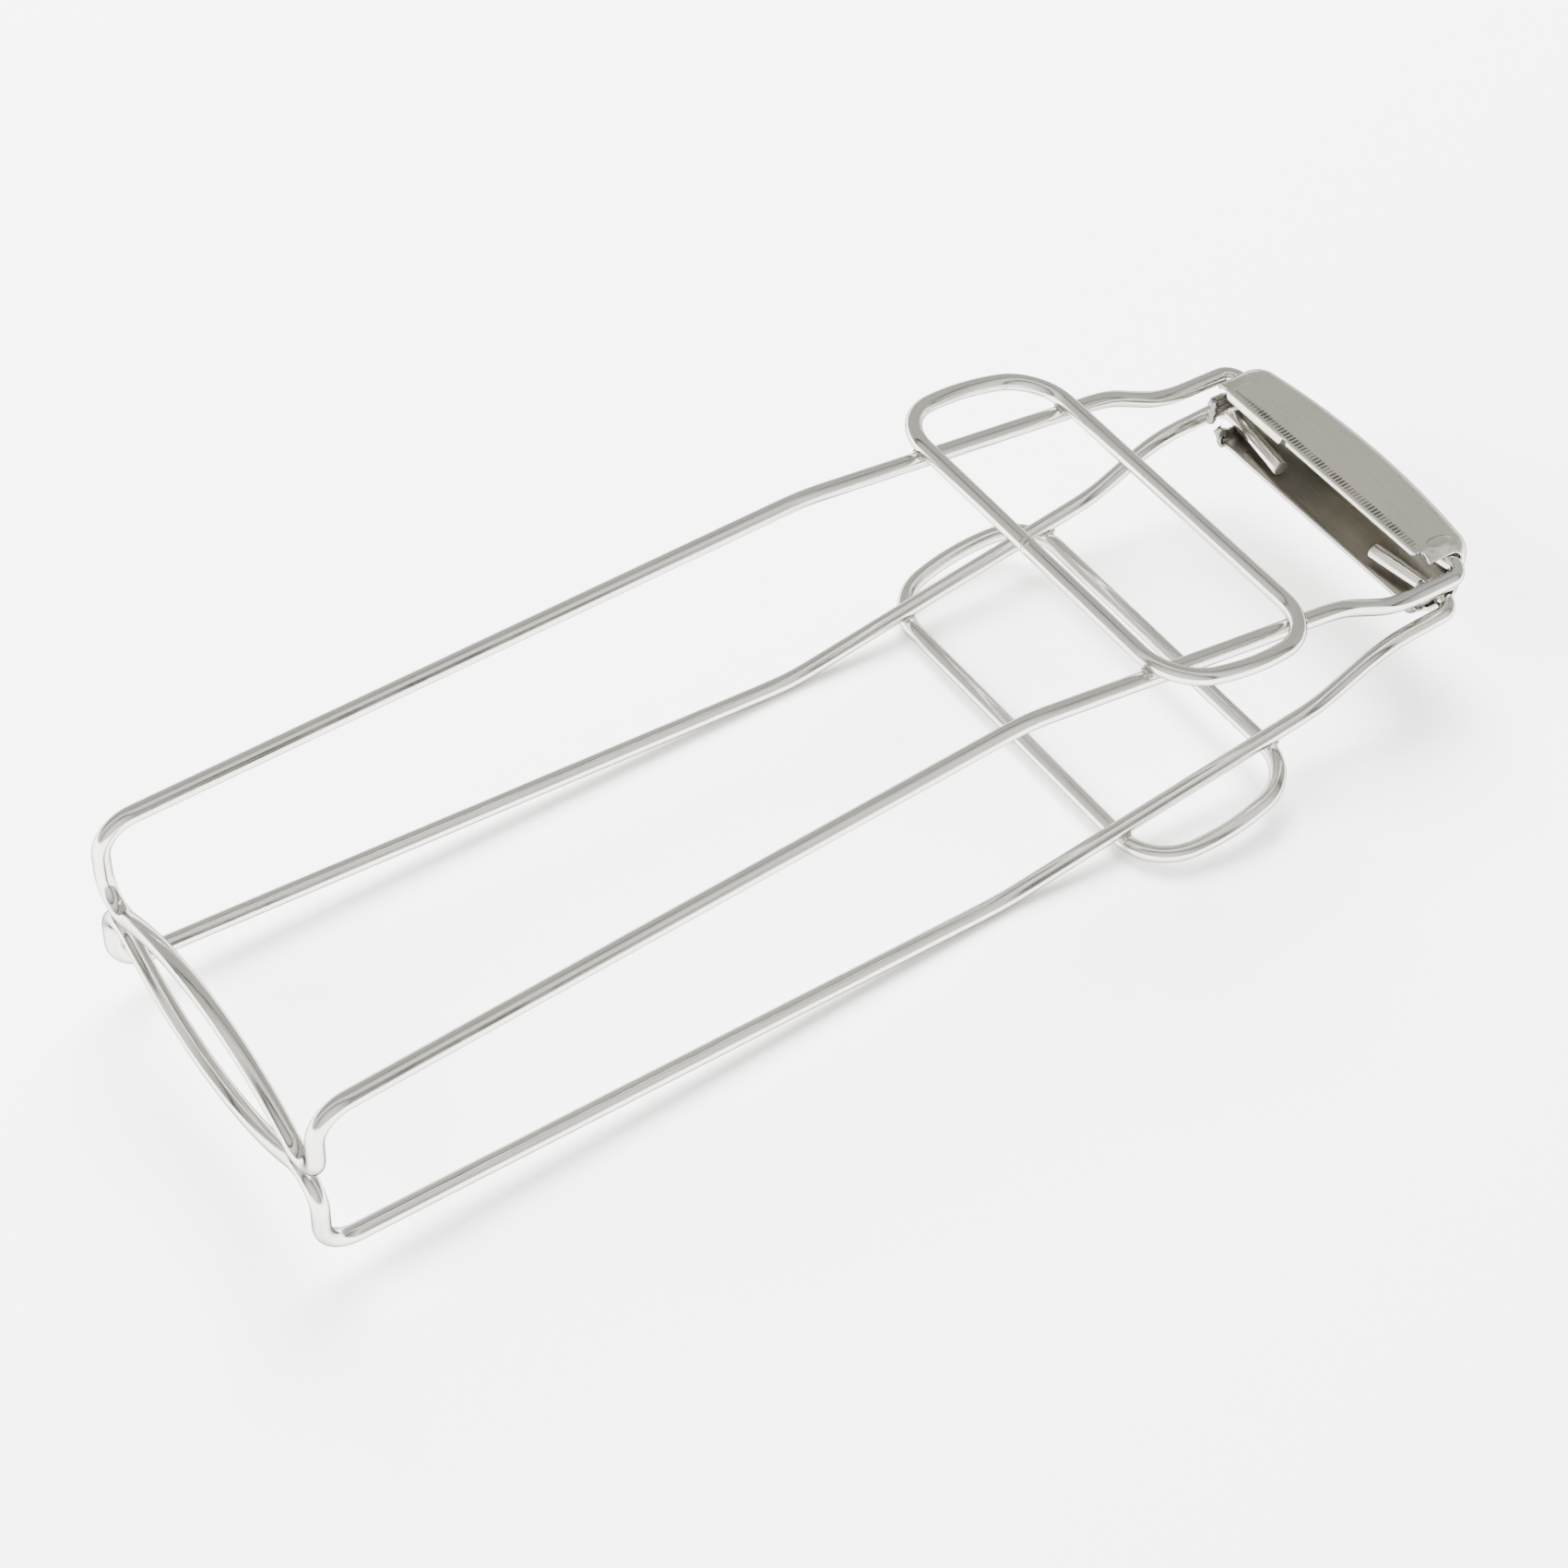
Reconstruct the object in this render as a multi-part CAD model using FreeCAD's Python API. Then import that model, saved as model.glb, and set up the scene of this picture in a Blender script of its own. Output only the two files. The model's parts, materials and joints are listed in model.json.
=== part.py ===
import FreeCAD, Part
import math
import os

from FreeCAD import Placement, Rotation, Vector

# Wire serving tongs: two equal frames of round wire, one of them turned over, hinged in a
# folded sheet channel. A rectangular grip loop is welded flat across the outside of each
# frame. All sizes in millimetres.
# The pieces are drawn with the hinge at X = 0, the jaws towards -X and Z = 0 on the plane
# where the jaws meet. They are then moved together, so that the origin lies under the middle
# of the whole object, on the surface that it rests on.

# ---- driving dimensions -------------------------------------------------------------------
WIRE_D = 3.0                # every wire: both frames and both grip loops
JAW_GAP = 0.3               # left between the two closed frames where they meet

# Side view of one frame: distances from the hinge, and heights above the mid plane.
JAW_X = -228.7              # where the arms turn down into the jaw
KINK_X = -98.0              # the two frames are furthest apart here
NECK_X = -30.5              # start of the joggle that brings the frames close at the hinge
JOGGLE_END_X = -16.5        # end of the joggle
JAW_Z = 16.2
KINK_Z = 22.0
NECK_Z = 11.9
JOGGLE_END_Z = 4.9
PIN_Z = 4.2                 # height of the hinge pins, and of a frame's hinge axis

# Plan view of one frame: half widths between the wire's centre lines.
JAW_Y = 32.6
KINK_Y = 30.5
HINGE_Y = 31.3

# Jaw: a drop at each corner, and a bar between the drops that bows away from the other frame.
BAR_LOW_Z = (WIRE_D + JAW_GAP) / 2
BAR_END_SLOPE = math.radians(29.0)

# Bend radii of the wire, to its centre line.
JAW_BEND_R = 6.2
DROP_BEND_R = 5.0
KINK_BEND_R = 40.0
JOGGLE_BEND_R = 24.0
PIN_BEND_R = 3.0

# Hinge pins: each frame's ends turn inwards, and lean a little towards the jaws.
PIN_END_Y = 12.5            # where a pin is cut off
PIN_LEAN = 0.15             # run towards the jaws for each millimetre inwards

# Grip loops: rounded rectangles lying across the arms, with slightly bowed short ends.
LOOP_JAW_SIDE_X = -72.5
LOOP_HINGE_SIDE_X = -40.8
LOOP_HALF_LENGTH = 39.4
LOOP_SHIFT = 1.4            # a loop sits this far off centre along its length
LOOP_CORNER_R = 10.0
LOOP_END_R = 45.0           # bow of the short ends
WELD_SINK = 0.15            # how far a loop is pressed into an arm by the welding
WELD_BEAD_R = 1.5

# Hinge channel: a shallow folded box of sheet, open towards the jaws.
SHEET = 0.8
CHANNEL_FRONT_X = -7.0
CHANNEL_BACK_X = 7.6        # back of the channel at its middle
CHANNEL_CROWN_R = 143.0     # the back is slightly bowed along its length
CHANNEL_HALF_LENGTH = 29.2
CHANNEL_HALF_HEIGHT = 7.6
CHANNEL_CORNER_R = 5.0      # plan corners at the back
BACK_EDGE_R = 4.0           # rounding along the back and the ends
LIP_DEPTH = 1.4             # the top plate's front edge is turned down by this much
BOTTOM_SETBACK = 2.6        # the bottom plate's front edge stands this far behind the lip
SLOT_CLEARANCE = 0.45       # around a wire where it passes through an end
EAR_REACH = 0.6             # the crimped ear between two slots stands out in front of the lips
EAR_CURL_R = 0.9


# ---- wire ---------------------------------------------------------------------------------
def bent_path(points, radii):
    """Straight runs between the points, joined at each inner point by a tangent arc."""
    edges = []
    start = points[0]
    for before, corner, after, radius in zip(points, points[1:], points[2:], radii):
        towards = (before - corner).normalize()
        away = (after - corner).normalize()
        half_angle = towards.getAngle(away) / 2
        setback = radius / math.tan(half_angle)
        arc_start = corner + towards * setback
        arc_end = corner + away * setback
        bisector = (towards + away).normalize()
        arc_mid = corner + bisector * (radius / math.sin(half_angle) - radius)
        edges.append(Part.LineSegment(start, arc_start).toShape())
        edges.append(Part.Arc(arc_start, arc_mid, arc_end).toShape())
        start = arc_end
    edges.append(Part.LineSegment(start, points[-1]).toShape())
    return edges


def inner_tangent_reach(big_r, small_r, offset):
    """How far apart the centres of two arcs stand, where the small one touches the big one
    from inside and their centres are this far apart the other way."""
    return math.sqrt((big_r - small_r) ** 2 - offset ** 2)


def mirrored(edges, normal):
    """The edges' mirror images in the plane through the origin with this normal."""
    return [edge.mirror(Vector(0, 0, 0), normal) for edge in edges]


def wire_solid(edges, start, direction):
    """Round wire along tangent edges, from a start point that heads in a direction."""
    spine = Part.Wire(Part.__sortEdges__(edges))
    section = Part.Wire(Part.makeCircle(WIRE_D / 2, start, direction))
    tube = spine.makePipeShell([section], True, True, 0)
    if tube.Volume < 0:
        tube.reverse()
    return tube


# ---- the two frames -----------------------------------------------------------------------
def arm_height(x):
    """Height of an arm's centre line on the straight run between the kink and the neck."""
    return KINK_Z + (NECK_Z - KINK_Z) * (x - KINK_X) / (NECK_X - KINK_X)


def arm_half_width(x):
    """Distance of an arm from the middle plane, on the same straight run."""
    return KINK_Y + (HINGE_Y - KINK_Y) * (x - KINK_X) / (NECK_X - KINK_X)


def upper_frame():
    """One length of wire: pin, arm, jaw drop and half the bowed bar, and their mirror image."""
    bend_y = JAW_Y - DROP_BEND_R
    bend_z = BAR_LOW_Z + DROP_BEND_R

    def on_drop_bend(turn):
        return Vector(
            JAW_X,
            bend_y + DROP_BEND_R * math.cos(turn),
            bend_z - DROP_BEND_R * math.sin(turn),
        )

    pin_corner_x = (HINGE_Y - CHANNEL_HALF_LENGTH) * PIN_LEAN
    pin_end_x = pin_corner_x - (HINGE_Y - PIN_END_Y) * PIN_LEAN
    points = [
        Vector(pin_end_x, PIN_END_Y, PIN_Z),
        Vector(pin_corner_x, HINGE_Y, PIN_Z),
        Vector(JOGGLE_END_X, HINGE_Y, JOGGLE_END_Z),
        Vector(NECK_X, HINGE_Y, NECK_Z),
        Vector(KINK_X, KINK_Y, KINK_Z),
        Vector(JAW_X, JAW_Y, JAW_Z),
        on_drop_bend(0),
    ]
    radii = [PIN_BEND_R, JOGGLE_BEND_R, JOGGLE_BEND_R, KINK_BEND_R, JAW_BEND_R]
    side = bent_path(points, radii)
    turn = math.pi / 2 + BAR_END_SLOPE
    bar_start = on_drop_bend(turn)
    side.append(Part.Arc(on_drop_bend(0), on_drop_bend(turn / 2), bar_start).toShape())

    bar_r = bar_start.y / math.sin(BAR_END_SLOPE)
    bar_top = Vector(JAW_X, 0, bar_start.z + bar_r * (1 - math.cos(BAR_END_SLOPE)))
    bar_end = Vector(JAW_X, -bar_start.y, bar_start.z)
    bar = Part.Arc(bar_start, bar_top, bar_end).toShape()
    path = side + [bar] + mirrored(side, Vector(0, 1, 0))
    return wire_solid(path, points[0], points[1] - points[0])


# ---- grip loops ---------------------------------------------------------------------------
def loop_tilt():
    """Angle of the loop, which follows the slope of the arms under it."""
    drop = arm_height(LOOP_JAW_SIDE_X) - arm_height(LOOP_HINGE_SIDE_X)
    return math.atan2(drop, LOOP_HINGE_SIDE_X - LOOP_JAW_SIDE_X)


def upper_grip_loop():
    """A closed rounded rectangle of wire, lying across the outside of the upper frame."""
    half_width = (LOOP_HINGE_SIDE_X - LOOP_JAW_SIDE_X) / 2 / math.cos(loop_tilt())
    corner_x = half_width - LOOP_CORNER_R
    end_centre_y = LOOP_HALF_LENGTH - LOOP_END_R
    corner_y = end_centre_y + inner_tangent_reach(LOOP_END_R, LOOP_CORNER_R, corner_x)
    turn = math.atan2(corner_y - end_centre_y, corner_x)

    def on_corner(angle):
        return Vector(
            corner_x + LOOP_CORNER_R * math.cos(angle),
            corner_y + LOOP_CORNER_R * math.sin(angle),
            0,
        )

    corner_end = on_corner(turn)
    quarter = [
        Part.LineSegment(Vector(half_width, 0, 0), on_corner(0)).toShape(),
        Part.Arc(on_corner(0), on_corner(turn / 2), corner_end).toShape(),
    ]
    half = quarter + mirrored(quarter, Vector(1, 0, 0))
    end_top = Vector(0, LOOP_HALF_LENGTH, 0)
    left_end = Vector(-corner_end.x, corner_end.y, 0)
    half.append(Part.Arc(corner_end, end_top, left_end).toShape())
    path = half + mirrored(half, Vector(0, 1, 0))
    loop = wire_solid(path, Vector(half_width, 0, 0), Vector(0, 1, 0))
    middle_x = (LOOP_HINGE_SIDE_X + LOOP_JAW_SIDE_X) / 2
    lift = (WIRE_D - WELD_SINK) / math.cos(loop_tilt())
    loop.Placement = Placement(
        Vector(middle_x, LOOP_SHIFT, arm_height(middle_x) + lift),
        Rotation(Vector(0, 1, 0), math.degrees(loop_tilt())),
    )
    return loop


def upper_weld_beads(frame, loop):
    """A small bead of weld round each place where the loop crosses an arm."""
    beads = []
    for x in (LOOP_JAW_SIDE_X, LOOP_HINGE_SIDE_X):
        for side in (1, -1):
            centre = Vector(x, side * arm_half_width(x), arm_height(x) + WIRE_D / 2)
            bead = Part.makeSphere(WELD_BEAD_R, centre)
            beads.extend(bead.cut([frame, loop]).Solids)
    return Part.makeCompound(beads)


# ---- hinge channel ------------------------------------------------------------------------
def channel_block(inset):
    """The channel's outer form, drawn in by a distance on every side."""
    front = CHANNEL_FRONT_X + inset
    back = CHANNEL_BACK_X - inset
    end_y = CHANNEL_HALF_LENGTH - inset
    height = CHANNEL_HALF_HEIGHT - inset
    corner_r = CHANNEL_CORNER_R - inset
    crown_r = CHANNEL_CROWN_R - inset
    crown_x = back - crown_r
    corner_y = end_y - corner_r
    corner_x = crown_x + inner_tangent_reach(crown_r, corner_r, corner_y)
    lean = math.atan2(corner_y, corner_x - crown_x)

    def on_corner(angle):
        return Vector(
            corner_x + corner_r * math.cos(angle),
            corner_y + corner_r * math.sin(angle),
            -height,
        )

    front_mid = Vector(front, 0, -height)
    front_end = Vector(front, end_y, -height)
    end_stop = on_corner(math.pi / 2)
    corner_stop = on_corner(lean)
    half = [
        Part.LineSegment(front_mid, front_end).toShape(),
        Part.LineSegment(front_end, end_stop).toShape(),
        Part.Arc(end_stop, on_corner((math.pi / 2 + lean) / 2), corner_stop).toShape(),
    ]
    far_stop = Vector(corner_stop.x, -corner_stop.y, -height)
    crown = Part.Arc(corner_stop, Vector(back, 0, -height), far_stop).toShape()
    edges = half + [crown] + mirrored(half, Vector(0, 1, 0))
    outline = Part.Wire(Part.__sortEdges__(edges))
    block = Part.Face(outline).extrude(Vector(0, 0, 2 * height))
    rims = [e for e in block.Edges if e.BoundBox.ZLength < 1e-6]
    rounds = [e for e in rims if e.BoundBox.XMax > front + 1e-6]
    return block.makeFillet(BACK_EDGE_R - inset, rounds)


def wire_slots():
    """Cutters for the slots: each seats a pin's end, and runs out through the front."""
    slot_r = WIRE_D / 2 + SLOT_CLEARANCE
    reach = 4 * SHEET
    cutters = []
    for side in (1, -1):
        start_y = side * (CHANNEL_HALF_LENGTH - SHEET / 2) - reach / 2
        for level in (PIN_Z, -PIN_Z):
            seat = Part.makeCylinder(slot_r, reach, Vector(0, start_y, level), Vector(0, 1, 0))
            corner = Vector(2 * CHANNEL_FRONT_X, start_y, level - slot_r)
            run = Part.makeBox(-2 * CHANNEL_FRONT_X, reach, 2 * slot_r, corner)
            cutters += [seat, run]
    return cutters


def crimped_ears():
    """The tongue between the two slots of each end, with its front edge curled inwards."""
    half_height = PIN_Z - WIRE_D / 2 - SLOT_CLEARANCE
    front = CHANNEL_FRONT_X - EAR_REACH
    ears = []
    for side in (1, -1):
        wall_y = min(side * CHANNEL_HALF_LENGTH, side * (CHANNEL_HALF_LENGTH - SHEET))
        tongue_corner = Vector(front + EAR_CURL_R, wall_y, -half_height)
        tongue = Part.makeBox(EAR_REACH, SHEET, 2 * half_height, tongue_corner)
        curl_y = side * (CHANNEL_HALF_LENGTH - EAR_CURL_R)
        curl_foot = Vector(front + EAR_CURL_R, curl_y, -half_height)
        ears += [tongue, Part.makeCylinder(EAR_CURL_R, 2 * half_height, curl_foot)]
    return ears


def bottom_front_cutter():
    """Takes the bottom plate's front strip away, up to the middle of the lower slots."""
    corner = Vector(CHANNEL_FRONT_X - SHEET, -CHANNEL_HALF_LENGTH, -2 * CHANNEL_HALF_HEIGHT)
    height = 2 * CHANNEL_HALF_HEIGHT - PIN_Z
    return Part.makeBox(BOTTOM_SETBACK + SHEET, 2 * CHANNEL_HALF_LENGTH, height, corner)


def hinge_channel():
    """Folded sheet, hollow and open at the front, with a slot at each end for every wire."""
    shell = channel_block(0).cut(channel_block(SHEET))
    mouth_low = SHEET - CHANNEL_HALF_HEIGHT
    mouth_high = CHANNEL_HALF_HEIGHT - LIP_DEPTH
    mouth_half = CHANNEL_HALF_LENGTH - 1.5 * SHEET
    mouth_corner = Vector(CHANNEL_FRONT_X - SHEET, -mouth_half, mouth_low)
    mouth = Part.makeBox(4 * SHEET, 2 * mouth_half, mouth_high - mouth_low, mouth_corner)
    cutters = [mouth, bottom_front_cutter()] + wire_slots()
    return shell.cut(cutters).fuse(crimped_ears()).removeSplitter()


# ---- the whole object ---------------------------------------------------------------------
def turned_over(shape):
    """The lower frame's piece: the same as the upper one, turned over about the long axis."""
    piece = shape.copy()
    piece.rotate(Vector(0, 0, 0), Vector(1, 0, 0), 180)
    return piece


def build_pieces():
    """Every piece, by node name, in the drawing's own frame."""
    frame = upper_frame()
    loop = upper_grip_loop()
    beads = upper_weld_beads(frame, loop)
    return {
        "hinge_channel": hinge_channel(),
        "upper_frame": frame,
        "upper_grip_loop": loop,
        "upper_weld_beads": beads,
        "lower_frame": turned_over(frame),
        "lower_grip_loop": turned_over(loop),
        "lower_weld_beads": turned_over(beads),
    }


def main():
    os.makedirs("parts", exist_ok=True)
    pieces = build_pieces()
    box = Part.makeCompound(list(pieces.values())).optimalBoundingBox(False, False)
    shift = Vector(-box.Center.x, -box.Center.y, -box.ZMin)
    print("hinge axes at x = %.3f, z = %.3f and %.3f" % (shift.x, shift.z + PIN_Z, shift.z - PIN_Z))
    print("size %.2f x %.2f x %.2f" % (box.XLength, box.YLength, box.ZLength))
    for name, shape in pieces.items():
        shape.translate(shift)
        bound = shape.optimalBoundingBox(False, False)
        print(
            "%-18s solids %d valid %s volume %8.1f  x %.2f..%.2f y %.2f..%.2f z %.2f..%.2f"
            % (name, len(shape.Solids), shape.isValid(), shape.Volume, bound.XMin, bound.XMax,
               bound.YMin, bound.YMax, bound.ZMin, bound.ZMax)
        )
        shape.exportStep("parts/%s.step" % name)


main()
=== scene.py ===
"""Wire serving tongs: two bowed wire frames with grip loops, hinged in a folded sheet channel.

Sizes are millimetres in the drawing's own frame, which has the hinge line at x = 0, the jaws
towards -x and z = 0 on the plane where the jaws meet. Meshes are placed in metres.
"""

import json
import logging
import math
from dataclasses import dataclass, field
from enum import Enum
from typing import Optional

import bmesh
import bpy
import numpy as np
from mathutils import Matrix, Vector


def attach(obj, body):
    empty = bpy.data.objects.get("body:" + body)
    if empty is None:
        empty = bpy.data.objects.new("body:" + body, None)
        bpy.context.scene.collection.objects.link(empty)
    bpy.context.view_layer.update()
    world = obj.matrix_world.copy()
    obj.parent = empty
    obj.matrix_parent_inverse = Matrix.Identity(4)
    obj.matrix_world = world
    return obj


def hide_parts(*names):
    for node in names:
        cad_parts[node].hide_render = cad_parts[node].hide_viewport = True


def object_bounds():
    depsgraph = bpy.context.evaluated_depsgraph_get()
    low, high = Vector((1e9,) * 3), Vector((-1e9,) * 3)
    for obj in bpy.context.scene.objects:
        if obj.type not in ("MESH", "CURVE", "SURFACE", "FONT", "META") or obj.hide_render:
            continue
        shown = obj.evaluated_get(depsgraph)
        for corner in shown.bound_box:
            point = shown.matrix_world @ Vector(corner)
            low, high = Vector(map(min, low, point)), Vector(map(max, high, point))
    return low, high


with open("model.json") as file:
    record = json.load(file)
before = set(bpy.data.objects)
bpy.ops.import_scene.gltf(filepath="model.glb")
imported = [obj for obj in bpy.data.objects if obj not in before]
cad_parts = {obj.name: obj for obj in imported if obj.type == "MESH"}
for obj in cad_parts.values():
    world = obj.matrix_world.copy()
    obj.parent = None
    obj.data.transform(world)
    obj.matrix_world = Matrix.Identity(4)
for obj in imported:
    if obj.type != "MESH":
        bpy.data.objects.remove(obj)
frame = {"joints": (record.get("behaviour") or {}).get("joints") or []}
CAD_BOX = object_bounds()

Array = np.ndarray
Socket = bpy.types.NodeSocket
Piece = bpy.types.Object

MM = 0.001
MERGE = 1e-7                # nearer than this, two points or two heights are the same
WIRE_D = 3.0
WIRE_SIDES = 32
BOTTOM_ROWS = 11            # rows of the channel's bottom plate
HEAT_REACH = 4.0            # how far from a weld the wire is tinted
# painted shade: a dark specular tint that darkens every metal's reflection at grazing angles
GRAZING_PAINTED_SHADE = (0.14, 0.13, 0.16)
FLOOR_COLOUR = (0.93, 0.93, 0.925)
log = logging.getLogger("tongs")


# ---- shared frame -------------------------------------------------------------------------
class HingeFrame:
    """Carries the drawing's frame into the object's: one point, and the pins' height."""

    def __init__(self, joints: list) -> None:
        """Takes the point midway between the two hinge axes.

        Args:
            joints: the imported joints, each with its position in metres.
        """
        spots = np.array([joint["pos_m"] for joint in joints])
        self.origin = spots.mean(axis=0)
        self.pin_z = abs(spots[0, 2] - spots[1, 2]) / 2 / MM

    def placed(self, points: Array) -> Array:
        """Returns the points, given in the drawing's millimetres, in the object's metres."""
        return self.origin + MM * np.asarray(points)


class Side(Enum):
    """The two frames: the lower one is the upper one turned over about the long axis."""

    UPPER = "upper"
    LOWER = "lower"

    @property
    def body(self) -> str:
        """Returns the name of the body that this side's pieces ride on."""
        return f"{self.value}_jaw"

    def turned(self, points: Array) -> Array:
        """Returns the upper side's points where this side has them."""
        sign = 1.0 if self is Side.UPPER else -1.0
        return points * np.array([1.0, sign, sign])


# ---- surfaces -----------------------------------------------------------------------------
def spread(*parts: object) -> Array:
    """Returns the parts side by side as the last axis, each spread over their common grid."""
    return np.stack(np.broadcast_arrays(*parts), axis=-1)


def added(name: str, data: bpy.types.ID) -> Piece:
    """Puts a mesh, a light or a camera into the scene, and returns its object."""
    thing = bpy.data.objects.new(name, data)
    bpy.context.scene.collection.objects.link(thing)
    return thing


@dataclass
class Patch:
    """A surface on a grid of two parameters, with its own map and point values."""

    points: Array
    uv: Array
    keep: Optional[Array] = None
    values: dict[str, Array] = field(default_factory=dict)

    def faces(self, first: int) -> Array:
        """Works out the quads between neighbouring grid points.

        Args:
            first: the index that the patch's first point has in the mesh.

        Returns:
            An array of four indices a face, without the faces that the mask leaves out.
        """
        rows, columns = self.points.shape[:2]
        index = first + np.arange(rows * columns).reshape(rows, columns)
        quads = np.stack([index[:-1, :-1], index[:-1, 1:], index[1:, 1:], index[1:, :-1]], axis=-1)
        mask = np.ones((rows - 1, columns - 1), bool) if self.keep is None else self.keep
        return quads[mask]


def surface(name: str, patches: list[Patch], hinge: HingeFrame, sharp_deg: float = 40.0) -> Piece:
    """Joins patches into one closed or open skin, with faces outwards.

    Args:
        name: the piece's name.
        patches: the surfaces, in the drawing's frame; edges that meet are merged.
        hinge: places them in the object's frame.
        sharp_deg: edges that turn by more than this stay crisp.

    Returns:
        The new object, at the origin, with its place in its mesh.
    """
    firsts = np.cumsum([0] + [patch.points[..., 0].size for patch in patches])
    points = np.concatenate([patch.points.reshape(-1, 3) for patch in patches])
    faces = np.concatenate([patch.faces(first) for patch, first in zip(patches, firsts)])
    mesh = bpy.data.meshes.new(name)
    mesh.from_pydata(hinge.placed(points).tolist(), [], faces.tolist())
    corner = np.empty(len(mesh.loops), np.int32)
    mesh.loops.foreach_get("vertex_index", corner)
    uv = np.concatenate([patch.uv.reshape(-1, 2) for patch in patches])
    mesh.uv_layers.new(name="UVMap").data.foreach_set("uv", uv[corner].ravel())
    for key in sorted({key for patch in patches for key in patch.values}):
        blank = [np.zeros(patch.points.shape[:2]) for patch in patches]
        parts = [patch.values.get(key, zero).ravel() for patch, zero in zip(patches, blank)]
        layer = mesh.attributes.new(key, "FLOAT", "POINT")
        layer.data.foreach_set("value", np.concatenate(parts))
    tidy = bmesh.new()
    tidy.from_mesh(mesh)
    bmesh.ops.remove_doubles(tidy, verts=tidy.verts, dist=MERGE)
    bmesh.ops.dissolve_degenerate(tidy, edges=tidy.edges, dist=MERGE)
    bmesh.ops.delete(tidy, geom=[v for v in tidy.verts if not v.link_faces], context="VERTS")
    bmesh.ops.recalc_face_normals(tidy, faces=tidy.faces)
    tidy.to_mesh(mesh)
    tidy.free()
    mesh.shade_smooth()
    mesh.set_sharp_from_angle(angle=math.radians(sharp_deg))
    return added(name, mesh)


def smooth_step(start: float, end: float, value: Array) -> Array:
    """Returns 0 before start, 1 after end, and 3t^2 - 2t^3 between them."""
    share = np.clip((value - start) / (end - start), 0.0, 1.0)
    return share * share * (3.0 - 2.0 * share)


def stretch(edges: tuple[float, float, float, float], value: Array) -> Array:
    """Returns 1 between the middle two of four edges, fading to 0 at the outer two."""
    return smooth_step(edges[0], edges[1], value) * (1.0 - smooth_step(edges[2], edges[3], value))


def hump(centre: float, width: float, value: Array) -> Array:
    """Returns exp(-((value - centre) / width)^2), a smooth hump of height 1."""
    return np.exp(-(((value - centre) / width) ** 2))


# ---- wire along a route -------------------------------------------------------------------
def run_stations(start: Array, end: Array, step: float) -> Array:
    """Returns evenly spaced points from start, without the end itself."""
    count = max(2, int(math.ceil(np.linalg.norm(end - start) / step)))
    return start + np.linspace(0.0, 1.0, count, endpoint=False)[:, None] * (end - start)


def arc_stations(centre: Array, start: Array, end: Array, step_deg: float) -> Array:
    """Points on an arc of under half a turn, without its end.

    Each is the centre plus the two end radii weighted by sin((1-t)w)/sin w and sin(tw)/sin w,
    where w is the whole turn and t goes from 0 to 1.

    Args:
        centre: the arc's centre.
        start: its first point.
        end: its last point.
        step_deg: the largest turn between neighbours.

    Returns:
        An array of points.
    """
    first, last = start - centre, end - centre
    cosine = first @ last / np.linalg.norm(first) / np.linalg.norm(last)
    turn = math.acos(np.clip(cosine, -1.0, 1.0))
    share = np.linspace(0.0, 1.0, max(3, int(math.degrees(turn) / step_deg) + 1), endpoint=False)
    weights = spread(np.sin((1.0 - share) * turn), np.sin(share * turn))
    return centre + weights @ np.stack([first, last]) / math.sin(turn)


def bent_route(points: Array, radii: list[float], step: float, step_deg: float) -> Array:
    """Straight runs between the points, joined at each inner point by a tangent arc.

    Args:
        points: the corners of the route.
        radii: a bend radius for each inner corner.
        step: spacing along the runs.
        step_deg: spacing round the bends.

    Returns:
        The stations along the route, with its last point.
    """
    stations = []
    start = points[0]
    for before, corner, after, radius in zip(points, points[1:], points[2:], radii):
        towards = (before - corner) / np.linalg.norm(before - corner)
        away = (after - corner) / np.linalg.norm(after - corner)
        half_angle = math.acos(np.clip(towards @ away, -1.0, 1.0)) / 2
        setback = radius / math.tan(half_angle)
        bisector = (towards + away) / np.linalg.norm(towards + away)
        centre = corner + bisector * radius / math.sin(half_angle)
        arc_start, arc_end = corner + towards * setback, corner + away * setback
        stations.append(run_stations(start, arc_start, step))
        stations.append(arc_stations(centre, arc_start, arc_end, step_deg))
        start = arc_end
    stations.append(run_stations(start, points[-1], step))
    return np.concatenate(stations + [points[-1:]])


def travelled(route: Array) -> Array:
    """Returns the distance travelled to each point of the route."""
    return np.concatenate([[0.0], np.cumsum(np.linalg.norm(np.diff(route, axis=0), axis=1))])


def sampled(along: Array, distance: Array, values: Array) -> Array:
    """Returns the columns of values, known at each distance, at the distances along."""
    return np.stack([np.interp(along, distance, column) for column in values.T], axis=-1)


def carried_normals(tangents: Array, first: Array) -> Array:
    """A normal at each station, carried along the route without twisting.

    Each one is the normal before it, less its part along the new tangent.

    Args:
        tangents: unit directions of the route.
        first: a direction across the route at its start.

    Returns:
        An array of unit normals.
    """
    normals = []
    normal = first
    for tangent in tangents:
        normal = normal - (normal @ tangent) * tangent
        normal = normal / np.linalg.norm(normal)
        normals.append(normal)
    return np.array(normals)


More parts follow.
